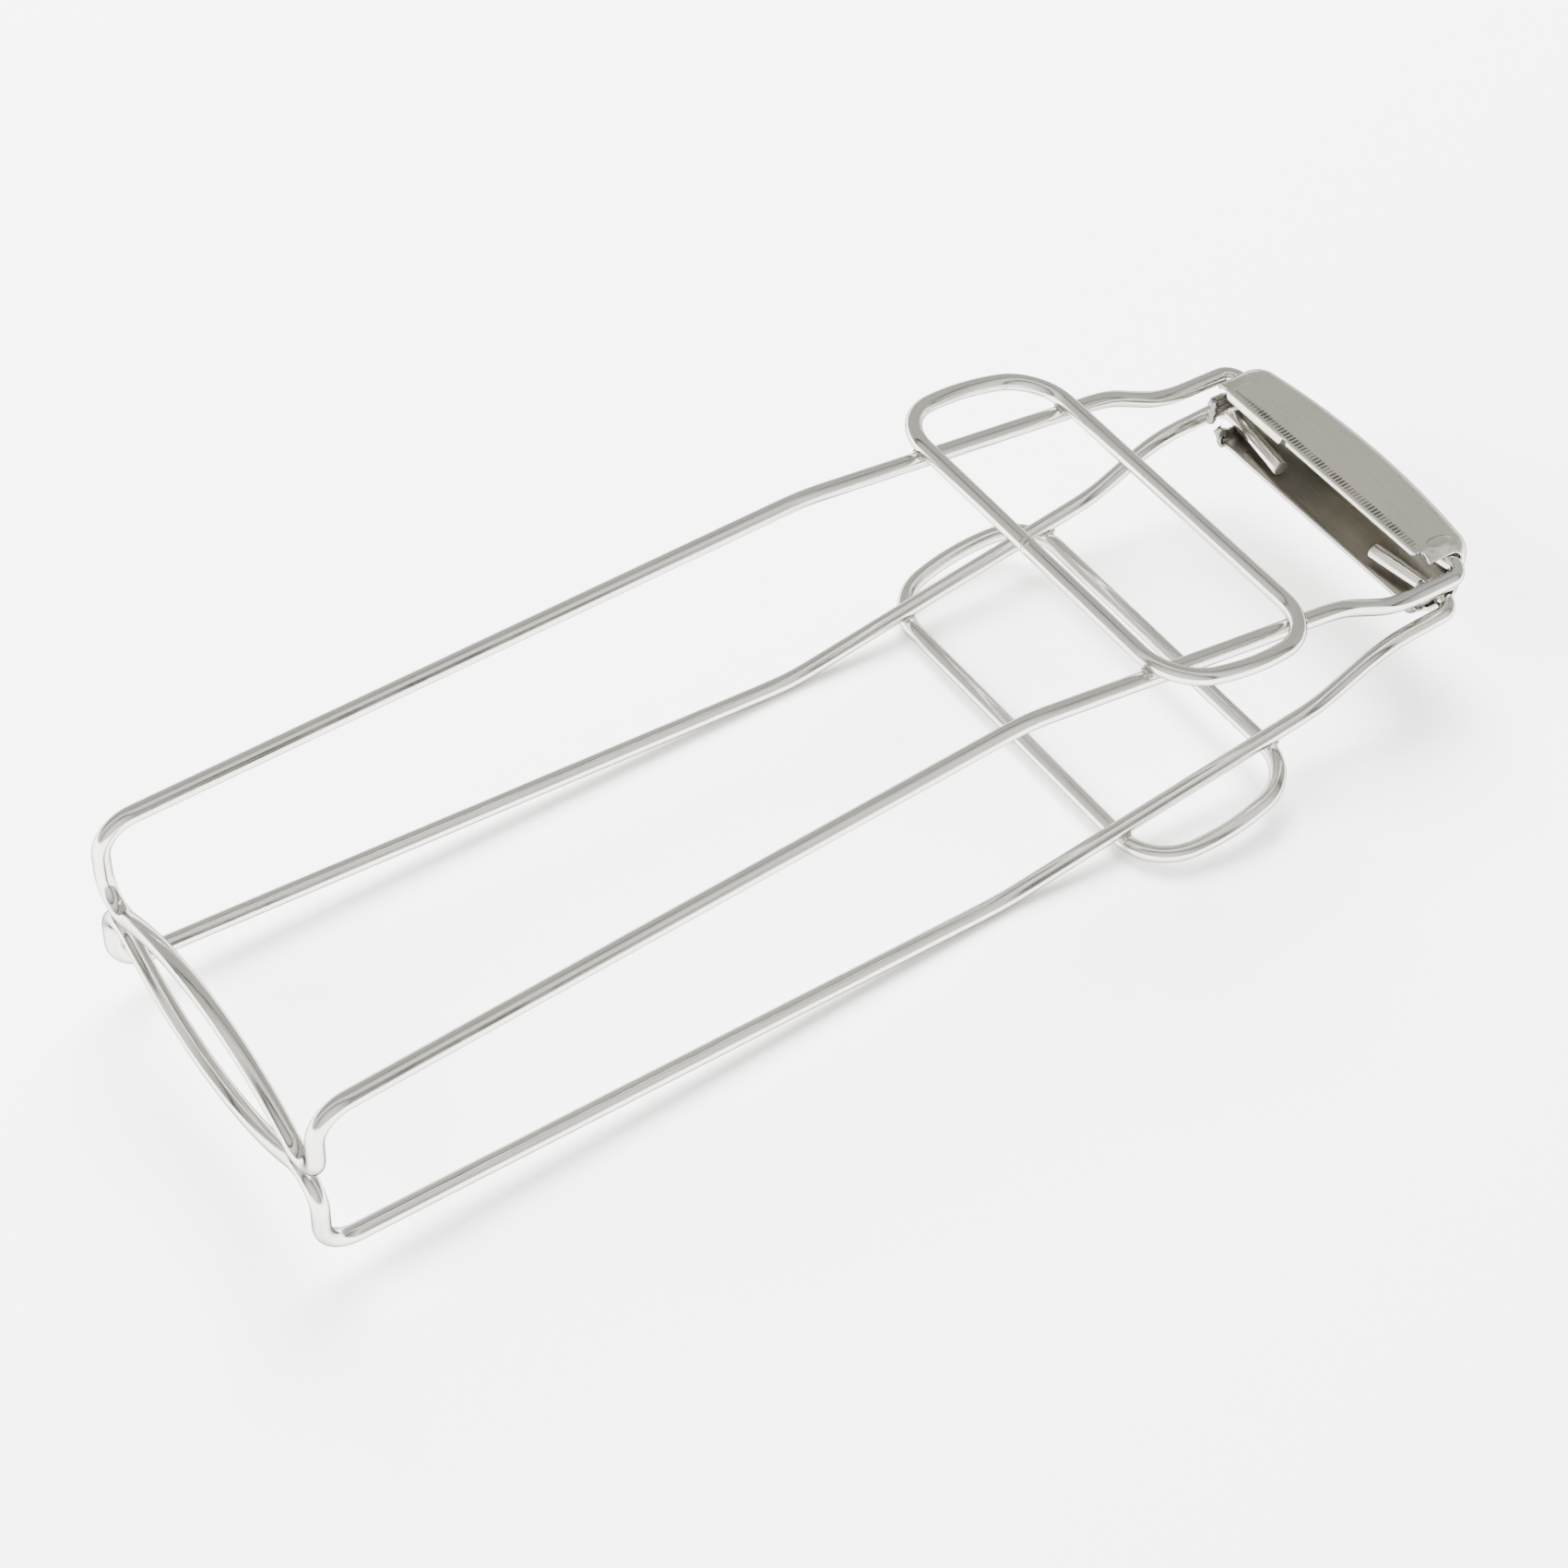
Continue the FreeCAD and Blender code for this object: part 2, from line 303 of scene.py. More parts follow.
def wire_patch(route: Array, along: Array, radii: Array, across: Array, closed: bool) -> Patch:
    """Round wire: a ring of the given radius at each distance along a route.

    A point is the route's point plus radius * (cos a * normal + sin a * binormal), with a
    from 0 to one turn.

    Args:
        route: the centre line's stations; a closed one ends where it starts.
        along: distances at which the rings stand.
        radii: the ring's radius at each of them.
        across: a direction across the route at its start.
        closed: whether the route's two ends join.

    Returns:
        The wire's skin, with distance in metres as u and the turn as v.
    """
    distance = travelled(route)
    centres = sampled(along, distance, route)
    slopes = np.gradient(route, distance, axis=0)
    if closed:
        joined = (route[1] - route[-2]) / np.linalg.norm(route[1] - route[-2])
        slopes[0] = slopes[-1] = joined
    tangents = sampled(along, distance, slopes)
    tangents /= np.linalg.norm(tangents, axis=1)[:, None]
    normals = carried_normals(tangents, across)
    binormals = np.cross(tangents, normals)
    turn = np.linspace(0.0, 2.0 * math.pi, WIRE_SIDES + 1)
    rings = np.cos(turn)[:, None] * normals[:, None] + np.sin(turn)[:, None] * binormals[:, None]
    points = centres[:, None] + radii[:, None, None] * rings
    return Patch(points, spread(MM * along[:, None], turn / (2.0 * math.pi)))


@dataclass(frozen=True)
class CutEnd:
    """The sheared end of a wire: a flat face with its rim knocked off."""

    chamfer: float = 0.28

    def distances(self) -> Array:
        """Returns how far each of the end's rings stands from the cut face."""
        return self.chamfer * np.array([0.0, 0.0, 0.0, 0.12, 0.5, 1.0])

    def radii(self) -> Array:
        """Returns the radius of each of those rings, from the middle of the face outwards."""
        rim = WIRE_D / 2 - self.chamfer * np.array([1.0, 0.62, 0.2, 0.0])
        return np.concatenate([[0.0, 0.55 * WIRE_D / 2], rim])


# ---- the two frames -----------------------------------------------------------------------
@dataclass(frozen=True)
class JawFrame:
    """One length of wire: pin, arm, jaw drop and bowed bar, and their mirror image."""

    side: Side
    jaw_x: float = -228.7
    kink_x: float = -98.0
    neck_x: float = -30.5
    joggle_end_x: float = -16.5
    jaw_z: float = 16.2
    kink_z: float = 22.0
    neck_z: float = 11.9
    joggle_end_z: float = 4.9
    jaw_y: float = 32.6
    kink_y: float = 30.5
    hinge_y: float = 31.3
    wall_y: float = 29.2
    pin_end_y: float = 12.5
    pin_lean: float = 0.15
    bar_low_z: float = 1.65
    bar_end_slope: float = math.radians(29.0)
    drop_bend_r: float = 5.0
    bend_radii: tuple[float, ...] = (3.0, 24.0, 24.0, 40.0, 6.2)
    step: float = 3.0
    step_deg: float = 4.0
    bar_stations: int = 24

    def arm_z(self, x: float) -> float:
        """Returns the height of an arm's centre line between the kink and the neck."""
        share = (x - self.kink_x) / (self.neck_x - self.kink_x)
        return self.kink_z + (self.neck_z - self.kink_z) * share

    def arm_y(self, x: float) -> float:
        """Returns an arm's distance from the middle plane on the same run."""
        share = (x - self.kink_x) / (self.neck_x - self.kink_x)
        return self.kink_y + (self.hinge_y - self.kink_y) * share

    def half_route(self, pin_z: float) -> Array:
        """Stations from a pin's cut end, along the arm, to the middle of the jaw bar.

        Args:
            pin_z: the pin's height above the mid plane.

        Returns:
            The stations of the upper frame's +y half.
        """
        bend_y = self.jaw_y - self.drop_bend_r
        bend_z = self.bar_low_z + self.drop_bend_r
        corner_x = (self.hinge_y - self.wall_y) * self.pin_lean
        end_x = corner_x - (self.hinge_y - self.pin_end_y) * self.pin_lean
        corners = np.array([
            (end_x, self.pin_end_y, pin_z),
            (corner_x, self.hinge_y, pin_z),
            (self.joggle_end_x, self.hinge_y, self.joggle_end_z),
            (self.neck_x, self.hinge_y, self.neck_z),
            (self.kink_x, self.kink_y, self.kink_z),
            (self.jaw_x, self.jaw_y, self.jaw_z),
            (self.jaw_x, self.jaw_y, bend_z),
        ])
        arm = bent_route(corners, list(self.bend_radii), self.step, self.step_deg)
        turn_end = math.pi / 2 + self.bar_end_slope
        turn = np.arange(0.0, turn_end, math.radians(self.step_deg))[1:]
        drop_y = bend_y + self.drop_bend_r * np.cos(turn)
        drop_z = bend_z - self.drop_bend_r * np.sin(turn)
        start_y = bend_y + self.drop_bend_r * math.cos(turn_end)
        start_z = bend_z - self.drop_bend_r * math.sin(turn_end)
        bar_r = start_y / math.sin(self.bar_end_slope)
        bow = np.linspace(self.bar_end_slope, 0.0, self.bar_stations)
        bar_y = bar_r * np.sin(bow)
        bar_z = start_z + bar_r * (np.cos(bow) - math.cos(self.bar_end_slope))
        jaw_y, jaw_z = np.concatenate([drop_y, bar_y]), np.concatenate([drop_z, bar_z])
        return np.concatenate([arm, spread(self.jaw_x, jaw_y, jaw_z)])

    def build(self, hinge: HingeFrame) -> Piece:
        """Returns the frame's wire, with a sheared end on each pin."""
        half = self.half_route(hinge.pin_z)
        route = np.concatenate([half, half[-2::-1] * np.array([1.0, -1.0, 1.0])])
        distance = travelled(route)
        whole, end = distance[-1], CutEnd()
        inner = distance[(distance > end.chamfer) & (distance < whole - end.chamfer)]
        along = np.concatenate([end.distances(), inner, whole - end.distances()[::-1]])
        radii = np.concatenate([end.radii(), np.full(inner.size, WIRE_D / 2), end.radii()[::-1]])
        across = self.side.turned(np.array([0.0, 0.0, 1.0]))
        patch = wire_patch(self.side.turned(route), along, radii, across, closed=False)
        patch.values["cut"] = np.repeat((radii < WIRE_D / 2 - MERGE)[:, None], WIRE_SIDES + 1, 1)
        patch.values["heat"] = GripLoop(self.side, self).warmth(patch.points)
        return surface(f"{self.side.value}_frame_wire", [patch], hinge)


# ---- grip loops ---------------------------------------------------------------------------
@dataclass(frozen=True)
class GripLoop:
    """A rounded rectangle of wire, butt welded into a ring, across the outside of a frame."""

    side: Side
    arms: JawFrame
    jaw_side_x: float = -72.5
    hinge_side_x: float = -40.8
    half_length: float = 39.4
    shift: float = 1.4
    corner_r: float = 10.0
    end_r: float = 45.0
    sink: float = 0.15
    seam_y: float = 0.6
    seam_depth: float = 0.24
    seam_half_width: float = 0.13
    seam_reach: float = 1.2
    flash: float = 0.07

    @property
    def tilt(self) -> float:
        """Returns the angle of the arms under the loop."""
        drop = self.arms.arm_z(self.jaw_side_x) - self.arms.arm_z(self.hinge_side_x)
        return math.atan2(drop, self.hinge_side_x - self.jaw_side_x)

    def flat_route(self) -> Array:
        """Stations round the loop in its own plane, from the seam and back to it.

        A quarter is half a long side, a corner arc, and half of a short end's wide arc, which
        touches the corner arc from outside; the rest are its mirror images.
        """
        half_width = (self.hinge_side_x - self.jaw_side_x) / 2 / math.cos(self.tilt)
        corner_x = half_width - self.corner_r
        end_y = self.half_length - self.end_r
        corner_y = end_y + math.sqrt((self.end_r - self.corner_r) ** 2 - corner_x ** 2)
        turn = math.atan2(corner_y - end_y, corner_x)
        bend = np.linspace(0.0, turn, 22)
        bow = np.linspace(turn, math.pi / 2, 12)[1:]
        straight = np.linspace(0.0, corner_y, 20, endpoint=False)[1:]
        x = np.concatenate([
            np.full(straight.size, half_width),
            corner_x + self.corner_r * np.cos(bend),
            self.end_r * np.cos(bow),
        ])
        y = np.concatenate([
            straight,
            corner_y + self.corner_r * np.sin(bend),
            end_y + self.end_r * np.sin(bow),
        ])
        x = np.concatenate([-x, x[-2::-1]])
        y = np.concatenate([y, y[-2::-1]])
        seam = (-half_width, self.seam_y)
        keep = ~((x < 0) & (y <= self.seam_y + 0.4) & (np.abs(x + half_width) < MERGE))
        first, second = spread(x[keep], y[keep]), -spread(x, y)
        middles = [(half_width, 0.0)], [(-half_width, 0.0)]
        ring = np.concatenate([[seam], first, middles[0], second, middles[1], [seam]])
        return spread(ring[:, 0], ring[:, 1], 0.0)

    def raised(self, points: Array) -> Array:
        """Returns points of the loop's plane, tilted and set on the arms of this side."""
        cosine, sine = math.cos(self.tilt), math.sin(self.tilt)
        middle_x = (self.hinge_side_x + self.jaw_side_x) / 2
        lift = (WIRE_D - self.sink) / cosine
        x = middle_x + cosine * points[..., 0] + sine * points[..., 2]
        y = self.shift + points[..., 1]
        z = self.arms.arm_z(middle_x) + lift - sine * points[..., 0] + cosine * points[..., 2]
        return self.side.turned(spread(x, y, z))

    def crossings(self) -> Array:
        """Returns the four places where the loop touches an arm."""
        spots = [
            (x, sign * self.arms.arm_y(x), self.arms.arm_z(x) + WIRE_D / 2)
            for x in (self.jaw_side_x, self.hinge_side_x)
            for sign in (1, -1)
        ]
        return self.side.turned(np.array(spots))

    def warmth(self, points: Array) -> Array:
        """Returns 1 at the loop's crossings, fading to 0 a few millimetres away."""
        return sum(
            hump(0.0, HEAT_REACH, np.linalg.norm(points - spot, axis=-1))
            for spot in self.crossings()
        )

    def build(self, hinge: HingeFrame) -> Piece:
        """Returns the loop's wire, which dips at the seam between two low rims of flash."""
        route = self.raised(self.flat_route())
        distance = travelled(route)
        whole = distance[-1]
        fine = np.linspace(0.0, self.seam_reach, 13)
        plain = distance[(distance > fine[-1]) & (distance < whole - fine[-1])]
        along = np.concatenate([fine, plain, whole - fine[::-1]])
        from_seam = np.minimum(along, whole - along)
        dip = self.seam_depth * hump(0.0, self.seam_half_width, from_seam)
        rim = self.flash * hump(3.6 * self.seam_half_width, 1.6 * self.seam_half_width, from_seam)
        across = self.side.turned(np.array([math.sin(self.tilt), 0.0, math.cos(self.tilt)]))
        patch = wire_patch(route, along, WIRE_D / 2 - dip + rim, across, closed=True)
        warmth = self.warmth(patch.points)
        scorch = 1.3 * hump(0.0, 1.6, from_seam)[:, None]
        patch.values["heat"] = warmth + scorch
        patch.values["cut"] = np.broadcast_to(hump(0.0, 0.25, from_seam)[:, None], warmth.shape)
        return surface(f"{self.side.value}_grip_loop_wire", [patch], hinge)


@dataclass(frozen=True)
class WeldBeads:
    """The four beads of weld that a loop leaves where it crosses the arms."""

    loop: GripLoop
    reach: float = 1.5
    lobe: float = 0.2
    half_height: float = 0.72
    ripple: float = 0.035

    def bead(self, spot: Array, seed: int) -> Patch:
        """One bead: a flat ball whose radius swells into the four corners between the wires.

        Its radius is reach * (1 + lobe * cos(4(a - 45 deg)) + ripple * sin(11 a + 9 p)), with
        a round the contact's normal and p from pole to pole, and its height is half_height.

        Args:
            spot: the contact's centre.
            seed: turns the ripple, so that no two beads are alike.

        Returns:
            The bead's closed skin.
        """
        around = np.linspace(0.0, 2.0 * math.pi, 41)
        polar = np.linspace(0.0, math.pi, 21)[:, None]
        swell = 1.0 + self.lobe * np.cos(4.0 * (around - math.pi / 4))
        crumple = self.ripple * np.sin(polar) * np.sin(11.0 * around + 9.0 * polar + seed)
        radius = self.reach * (swell + crumple) * np.sin(polar)
        height = self.half_height * np.cos(polar)
        flat = spread(radius * np.cos(around), radius * np.sin(around), height)
        return Patch(spot + flat, spread(around / (2.0 * math.pi), polar / math.pi))

    def build(self, hinge: HingeFrame) -> Piece:
        """Returns the loop's four beads as one piece."""
        patches = [self.bead(spot, seed) for seed, spot in enumerate(self.loop.crossings())]
        return surface(f"{self.loop.side.value}_weld_bead_set", patches, hinge)


# ---- hinge channel ------------------------------------------------------------------------
@dataclass(frozen=True)
class Pressings:
    """What the press leaves on the top plate: ticks, bosses, a groove and a few soft waves.

    A feature's four edges are where it starts, is full, starts to fade and has ended.
    """

    tick_x: tuple[float, float, float, float] = (-6.45, -6.25, -5.05, -4.75)
    tick_y: tuple[float, float, float, float] = (-25.0, -22.0, 17.0, 23.0)
    tick_depth: float = 0.06
    line_x: float = -5.75
    line_slope: float = 0.03
    line_width: float = 0.3
    line_end_y: float = 24.0
    boss_x: float = -1.8
    boss_y: float = 25.6
    boss_reach: tuple[float, float] = (3.1, 1.7)
    boss_rises: tuple[tuple[int, float], ...] = ((-1, 0.5), (1, 0.22))
    groove_x: tuple[float, float, float, float] = (-6.2, -3.9, 0.8, 2.4)
    groove_y: float = -27.5
    groove_width: float = 0.3
    groove_depth: float = 0.22
    crease_x: float = -5.6
    crease_width: float = 0.5
    crease_depth: float = 0.12
    wave_height: float = 0.05
    # where the ends' fronts are darkened
    darker_patch_y: tuple[float, float] = (22.0, 27.0)
    darker_patch_x: tuple[float, float] = (-3.5, 0.0)
    line_start_y: tuple[float, float] = (8.0, 14.0)
    crease_y: tuple[float, float] = (19.0, 25.0)

    def tick_band(self, x: Array, y: Array) -> Array:
        """How deep the band of short cross marks behind the lip is: 0 on the plain sheet.

        The band is deeper and shallower along its length, and it fades at its ends and at
        its front and back edges. The sheet's finish cuts it into single marks.
        """
        beat = 0.75 + 0.25 * np.sin(0.9 * y + 1.3 * np.sin(0.37 * y))
        return stretch(self.tick_y, y) * stretch(self.tick_x, x) * beat

    def darker_patch_mask(self, x: Array, y: Array) -> Array:
        """Where the top plate is darkened: the ends' fronts, and a line behind the lip."""
        ends = smooth_step(*self.darker_patch_y, np.abs(y)) * (1.0 - smooth_step(*self.darker_patch_x, x))
        line_x = self.line_x + self.line_slope * (25.0 - y)
        run = smooth_step(*self.line_start_y, y) * (y < self.line_end_y)
        line = hump(line_x, self.line_width, x) * run
        return np.maximum(0.45 * ends, 0.8 * line)

    def height(self, x: Array, y: Array) -> Array:
        """How far the top plate stands above its plane.

        The tick band is pressed in; a long low boss covers each upper pin's seat; at the -y end
        a straight groove runs beside it; and shallow waves are left from folding.
        """
        boss = np.zeros_like(x)
        for sign, rise in self.boss_rises:
            across = (x - self.boss_x) / self.boss_reach[0]
            along = (y - sign * self.boss_y) / self.boss_reach[1]
            boss += rise * (1.0 - smooth_step(0.35, 1.15, across ** 2 + along ** 2))
        groove = hump(self.groove_y, self.groove_width, y) * stretch(self.groove_x, x)
        wave = np.sin(0.35 * y + 0.8) * np.cos(0.28 * x)
        crease = hump(self.crease_x, self.crease_width, x) * smooth_step(*self.crease_y, np.abs(y))
        raised = boss + self.wave_height * wave
        sunk = self.groove_depth * groove + self.crease_depth * crease
        return raised - sunk - self.tick_depth * self.tick_band(x, y)


@dataclass(frozen=True)
class Channel:
    """A shallow pressed box of sheet, open towards the jaws, slotted for the four pins."""

    pin_z: float
    sheet: float = 0.8
    front_x: float = -7.0
    back_x: float = 7.6
    crown_r: float = 143.0
    end_y: float = 29.2
    half_height: float = 7.6
    corner_r: float = 5.0
    edge_r: float = 4.0
    slot_r: float = 2.25
    wall_front_x: float = -6.4
    hood_front_x: float = -5.3
    bottom_front_x: float = -4.4
    relax_x: float = 4.2
    lip_bend_r: float = 0.5
    lip_depth: float = 0.95
    tab_depth: float = 1.65
    tab_y: float = 24.0
    lip_end_y: float = 25.2
    notch_y: float = 9.4
    notch_half: float = 0.75
    ear_r: float = 0.9
    lower_ear_r: float = 1.6
    rib_pitch: float = 1.25
    rib_depth: float = 0.34
    rib_phase: float = 0.6
    tongue_widening: float = 0.36
    lower_rise: float = 1.2
    crimp_x: tuple[float, float] = (-4.5, 0.0)
    crimp_y: tuple[float, float] = (20.0, 26.0)
    crimp_z: tuple[float, float] = (6.0, 7.0)
    pinch_x: tuple[float, float] = (-4.4, -2.3)
    ear_turn: float = math.radians(215.0)
    lower_ear_turn: float = math.radians(140.0)
    ear_swell: float = 0.16
    end_columns: int = 26
    close_up: float = 0.9
    crown_columns: int = 150
    seat_rows: int = 15
    shoulder_rows: int = 8
    pressings: Pressings = Pressings()

    # -- plan outline --
    def outline(self) -> tuple[Array, Array, Array]:
        """The +y half of the plan outline, from the front corner to the middle of the back.

        A straight end, a corner arc about its own centre, and the back's wide crown arc.

        Returns:
            Distances along the outline, its points, and its outward normals.
        """
        corner_y = self.end_y - self.corner_r
        crown_x = self.back_x - self.crown_r
        corner_x = crown_x + math.sqrt((self.crown_r - self.corner_r) ** 2 - corner_y ** 2)
        lean = math.atan2(corner_y, corner_x - crown_x)
        run = np.linspace(self.front_x, corner_x, 60, endpoint=False)
        bend = np.linspace(math.pi / 2, lean, 90, endpoint=False)
        crown = np.linspace(lean, 0.0, 200)
        angle = np.concatenate([np.full(run.size, math.pi / 2), bend, crown])
        normals = spread(np.cos(angle), np.sin(angle))
        points = np.concatenate([
            spread(run, self.end_y),
            np.array([corner_x, corner_y]) + self.corner_r * normals[run.size:run.size + bend.size],
            np.array([crown_x, 0.0]) + self.crown_r * normals[run.size + bend.size:],
        ])
        return travelled(points), points, normals

    def heights(self) -> Array:
        """Heights of the rows down the rounded rim: they follow each slot's round seat."""
        wall_top = self.half_height - self.edge_r
        half_turn = np.linspace(math.pi / 2, -math.pi / 2, self.seat_rows)
        seat = self.pin_z + self.slot_r * np.sin(half_turn)
        rim_angle = math.asin((seat[0] - wall_top) / self.edge_r)
        over = np.linspace(math.pi / 2, rim_angle, self.shoulder_rows)[:-1]
        shoulder = wall_top + self.edge_r * np.sin(over)
        middle = np.linspace(seat[-1], -seat[-1], self.seat_rows)[1:-1]
        upper = np.concatenate([shoulder, seat])
        return np.concatenate([upper, middle, -upper[::-1]])

    def inset(self, z: Array) -> Array:
        """Returns how far the rounded rim stands inside the outline at a height."""
        over = np.clip(np.abs(z) - (self.half_height - self.edge_r), 0.0, self.edge_r)
        return self.edge_r - np.sqrt(self.edge_r ** 2 - over ** 2)

    def rim(self, sign: int) -> tuple[Array, Array]:
        """The rim's grid on one half: rows down the wall, columns along the outline.

        In a slot's rows the columns are pushed back along the outline, so that one of them
        follows the round seat, and the push fades out behind it.

        Args:
            sign: 1 for the +y half, -1 for the other.

        Returns:
            The grid's points, and the columns' distances along the outline.
        """
        distance, points, normals = self.outline()
        z = self.heights()[:, None]

        def reach(x: Array) -> Array:
            return np.interp(x, points[:, 0], distance)

        off_centre = np.abs(np.abs(z) - self.pin_z)
        seat_x = np.sqrt(np.clip(self.slot_r ** 2 - off_centre ** 2, 0.0, None))
        above = z > self.pin_z + self.slot_r - MERGE
        top_front = self.front_x + self.lip_bend_r if sign > 0 else self.hood_front_x
        start = reach(np.where(above, top_front, self.wall_front_x))
        before = np.linspace(0.0, 1.0, self.seat_column + 1)
        ahead = start + (reach(seat_x) - start) * before
        relax = reach(self.relax_x)
        share = np.linspace(0.0, 1.0, self.end_columns - self.seat_column + 1)[1:]
        behind = reach(seat_x) + (relax - reach(seat_x)) * share
        crown = relax + (distance[-1] - relax) * np.linspace(0.0, 1.0, self.crown_columns + 1)[1:]
        crown = np.broadcast_to(crown, (z.size, crown.size))
        along = np.concatenate([ahead, behind, crown], axis=1)
        inwards = self.inset(z)[..., None] * sampled(along, distance, normals)
        plan = sampled(along, distance, points) - inwards
        return spread(plan[..., 0], sign * plan[..., 1], z), along

    @property
    def seat_column(self) -> int:
        """Returns the column that follows the slots' round seats."""
        return self.end_columns // 2

    # -- folds at the ends --
    def ribs(self, z: Array) -> Array:
        """Returns cos(2 pi z / pitch + phase), the wave of the ribs up an end's front edge."""
        return np.cos(2.0 * math.pi * z / self.rib_pitch + self.rib_phase)

    def crimped(self, points: Array) -> Array:
        """The rim's points with the folds that pressing leaves at the ends' front edges.

        The wall moves in by a wave of its height, growing from nothing over the last few
        millimetres before the front. There the middle tongue widens, and the wall below the
        lower slot rises, so that together they close the slot in front of its pin.
        """
        x, y, z = points[..., 0], points[..., 1], points[..., 2]
        near_front = 1.0 - smooth_step(*self.crimp_x, x)
        on_end = smooth_step(*self.crimp_y, np.abs(y)) * (1.0 - smooth_step(*self.crimp_z, z))
        depth = self.rib_depth * near_front * on_end * (0.5 - 0.5 * self.ribs(z))
        pinch = 1.0 - smooth_step(*self.pinch_x, x)
        slot_low, slot_high = self.pin_z - self.slot_r, self.pin_z + self.slot_r
        tongue = z * self.tongue_widening * (np.abs(z) <= slot_low + MERGE)
        free = np.clip((self.half_height + z) / (self.half_height - slot_high), 0.0, 1.0)
        rise = self.lower_rise * free * (z <= MERGE - slot_high)
        moved = points.copy()
        moved[..., 1] -= np.sign(y) * depth
        moved[..., 2] += pinch * (tongue + rise)
        return moved

    # -- plates --
    def front_line(self, inner: Array, front: float) -> Array:
        """Where each column starts on a plate's front line.

        The back's columns run nearly straight ahead, a little closed up towards the middle, and
        the end's and the corner's columns share the rest of the line evenly.

        Args:
            inner: the rim's inner edge, which the plate's columns end on.
            front: the front line's x.

        Returns:
            The points of the front line.
        """
        y = np.abs(inner[:, 1]) * self.close_up
        column = np.arange(len(inner))
        from_end = np.minimum(column, column[::-1])
        edge, last = np.abs(inner[0, 1]), y[self.end_columns]
        fan = edge + (last - edge) * from_end / self.end_columns
        y = np.where(from_end < self.end_columns, fan, y) * np.sign(inner[:, 1])
        return spread(front, y, inner[:, 2])

    def lip(self, start: Array) -> Array:
        """The front edge's fold, from its free edge up to the plate.

        The section is a straight face down from a quarter bend. Its depth changes along the
        edge: a deeper tab at the +y end, a relief notch beside it, then a shallow lip.

        Args:
            start: the points where the bend meets the plate.

        Returns:
            A grid of rows from the free edge to the plate.
        """
        y = start[:, 1]
        tab = stretch((self.notch_y, self.notch_y + 0.3, self.tab_y, self.lip_end_y), y)
        depth = self.lip_depth + (self.tab_depth - self.lip_depth) * tab
        notch = 1.0 - smooth_step(self.notch_half * 0.75, self.notch_half, np.abs(y - self.notch_y))
        ends = smooth_step(self.lip_end_y - 0.8, self.lip_end_y, np.abs(y))
        depth = depth * (1.0 - np.maximum(0.8 * notch, 0.5 * ends))
        radius = np.minimum(self.lip_bend_r, depth)
        turn = np.linspace(math.pi / 2, 0.0, 6)[:, None]
        bend_x = start[:, 0] - radius * np.sin(turn)
        bend_z = start[:, 2] - radius * (1.0 - np.cos(turn))
        drop = np.linspace(1.0, 0.0, 4)[:-1, None] * (depth - radius)
        face_x = np.broadcast_to(start[:, 0] - radius, drop.shape) - 0.2 * tab * drop
        face_z = start[:, 2] - radius - drop
        x = np.concatenate([face_x, bend_x[:-1]])
        z = np.concatenate([face_z, bend_z[:-1]])
        return spread(x, y, z)

    def top_rows(self, inner: Array) -> Array:
        """Rows of the lip and the top plate, down to but without the rim's first row."""
        start = self.front_line(inner, self.front_x + self.lip_bend_r)
        share = np.concatenate([np.linspace(0.0, 0.16, 16), np.linspace(0.16, 1.0, 24)[1:]])
        plate = start + share[:-1, None, None] * (inner - start)
        return np.concatenate([self.lip(start), plate])

    def bottom_rows(self, inner: Array) -> Array:
        """Rows of the bottom plate, from behind the rim's last row to the front edge."""
        start = self.front_line(inner, self.bottom_front_x)
        share = np.linspace(1.0, 0.0, BOTTOM_ROWS + 1)[1:, None, None]
        return start + share * (inner - start)

    def skin(self) -> Patch:
        """The whole sheet as one grid: lip, top plate, rim, and bottom plate.

        Rows run down the section and columns round the outline, and the cells that lie in
        the slots or in front of the bottom plate are left out.
        """
        far, along = self.rim(1)
        near, _ = self.rim(-1)
        rim = self.crimped(np.concatenate([far, near[:, -2::-1]], axis=1))
        points = np.concatenate([self.top_rows(rim[0]), rim, self.bottom_rows(rim[-1])])
        z = points[..., 2]
        flat = smooth_step(self.half_height - 1.3, self.half_height - 0.05, z)
        x, y = points[..., 0], points[..., 1]
        marks = self.pressings.tick_band(x, y) * flat
        # Darker patches at the ends' fronts and along a line behind the lip.
        worked = self.pressings.darker_patch_mask(x, y)
        points[..., 2] = z + flat * self.pressings.height(x, y)
        columns = np.concatenate([along[0], 2.0 * along[0, -1] - along[0, -2::-1]])
        rows = np.linspace(0.0, 1.0, len(points))
        top = len(points) - len(rim) - BOTTOM_ROWS
        values = {"mark": marks, "worked": worked}
        return Patch(points, spread(MM * columns[None], rows[:, None]), self.kept(top), values)

    def kept(self, top: int) -> Array:
        """Which cells are sheet: all but the slots and the strip before the bottom plate.

        Args:
            top: how many rows lie above the rim.

        Returns:
            A mask with a value for each cell of the grid.
        """
        z = self.heights()
        middle = (z[1:] + z[:-1]) / 2
        in_slot = np.abs(np.abs(middle) - self.pin_z) < self.slot_r
        half = np.arange(self.end_columns + self.crown_columns)
        column = np.concatenate([half, half[::-1]])
        gone = in_slot[:, None] & (column < self.seat_column)[None]
        below = (middle < -self.pin_z)[:, None] & (column < self.setback_column)[None]
        plate = np.broadcast_to(column < self.setback_column, (BOTTOM_ROWS, column.size))
        return ~np.concatenate([np.zeros((top, column.size), bool), gone | below, plate])

    @property
    def setback_column(self) -> int:
        """Returns the first column behind the bottom plate's front edge."""
        reach = (self.bottom_front_x - self.wall_front_x) / -self.wall_front_x
        return int(round(reach * self.seat_column))

